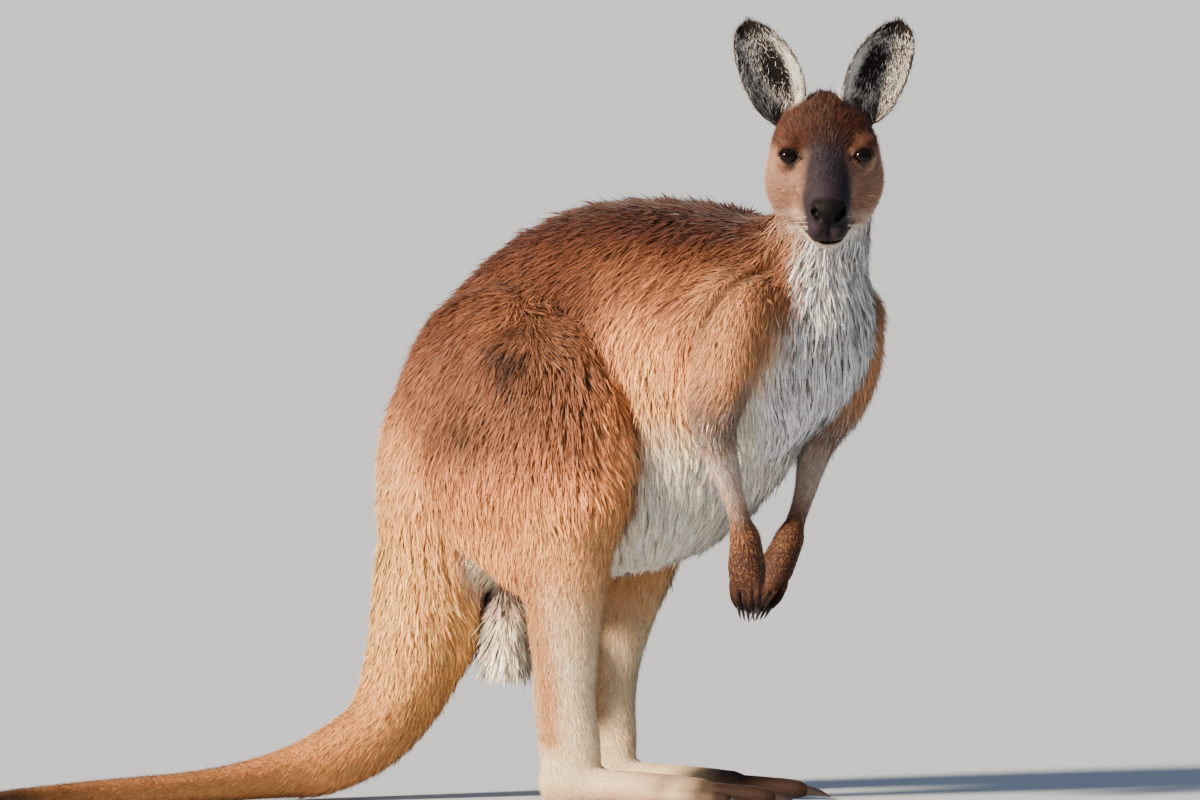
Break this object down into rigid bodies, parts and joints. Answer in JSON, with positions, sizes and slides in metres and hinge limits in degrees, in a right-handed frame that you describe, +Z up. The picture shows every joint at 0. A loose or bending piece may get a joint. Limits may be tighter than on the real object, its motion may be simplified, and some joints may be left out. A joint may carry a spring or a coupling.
{
  "type": "life-size kangaroo model",
  "caption": "Life-size still model of an adult male western grey kangaroo, standing crouched on its hind feet, chest and head turned to its right, tail laid on the floor.",
  "frame": {"origin": "on the floor, under the middle of the model's bounding box", "axes": "+X the way the hind feet point, +Y toward the animal's left, +Z up from the floor"},
  "size_m": [1.0084, 0.7164, 0.8769],
  "materials": {
    "coat_tawny": "tawny brown fur, matt",
    "coat_face": "short dark brown fur, matt",
    "coat_pale": "short pale tan fur, matt",
    "coat_grey": "grizzled grey fur, matt",
    "coat_dark": "short blackish brown fur, matt",
    "coat_cream": "short cream fur, matt",
    "eye": "wet gloss",
    "claw": "dark horn, satin"
  },
  "bodies": {
    "root": {"head": "coat_face", "neck": "coat_grey", "trunk": "coat_tawny", "tail_base": "coat_tawny", "tail_middle": "coat_tawny", "tail_tip": "coat_dark", "scrotum": "coat_cream", "ear_left": "coat_grey", "eye_left": "eye", "thigh_left": "coat_tawny", "shin_left": "coat_pale", "foot_left": "coat_pale", "upper_arm_left": "coat_tawny", "forearm_left": "coat_pale", "hand_left": "coat_dark", "foot_left_claw_fourth": "claw", "foot_left_claw_fifth": "claw", "foot_left_claw_grooming_outer": "claw", "foot_left_claw_grooming_inner": "claw", "hand_left_claw_1": "claw", "hand_left_claw_2": "claw", "hand_left_claw_3": "claw", "hand_left_claw_4": "claw", "hand_left_claw_5": "claw", "ear_right": "coat_grey", "eye_right": "eye", "thigh_right": "coat_tawny", "shin_right": "coat_pale", "foot_right": "coat_pale", "upper_arm_right": "coat_tawny", "forearm_right": "coat_pale", "hand_right": "coat_dark", "foot_right_claw_fourth": "claw", "foot_right_claw_fifth": "claw", "foot_right_claw_grooming_outer": "claw", "foot_right_claw_grooming_inner": "claw", "hand_right_claw_1": "claw", "hand_right_claw_2": "claw", "hand_right_claw_3": "claw", "hand_right_claw_4": "claw", "hand_right_claw_5": "claw"}
  },
  "joints": []
}
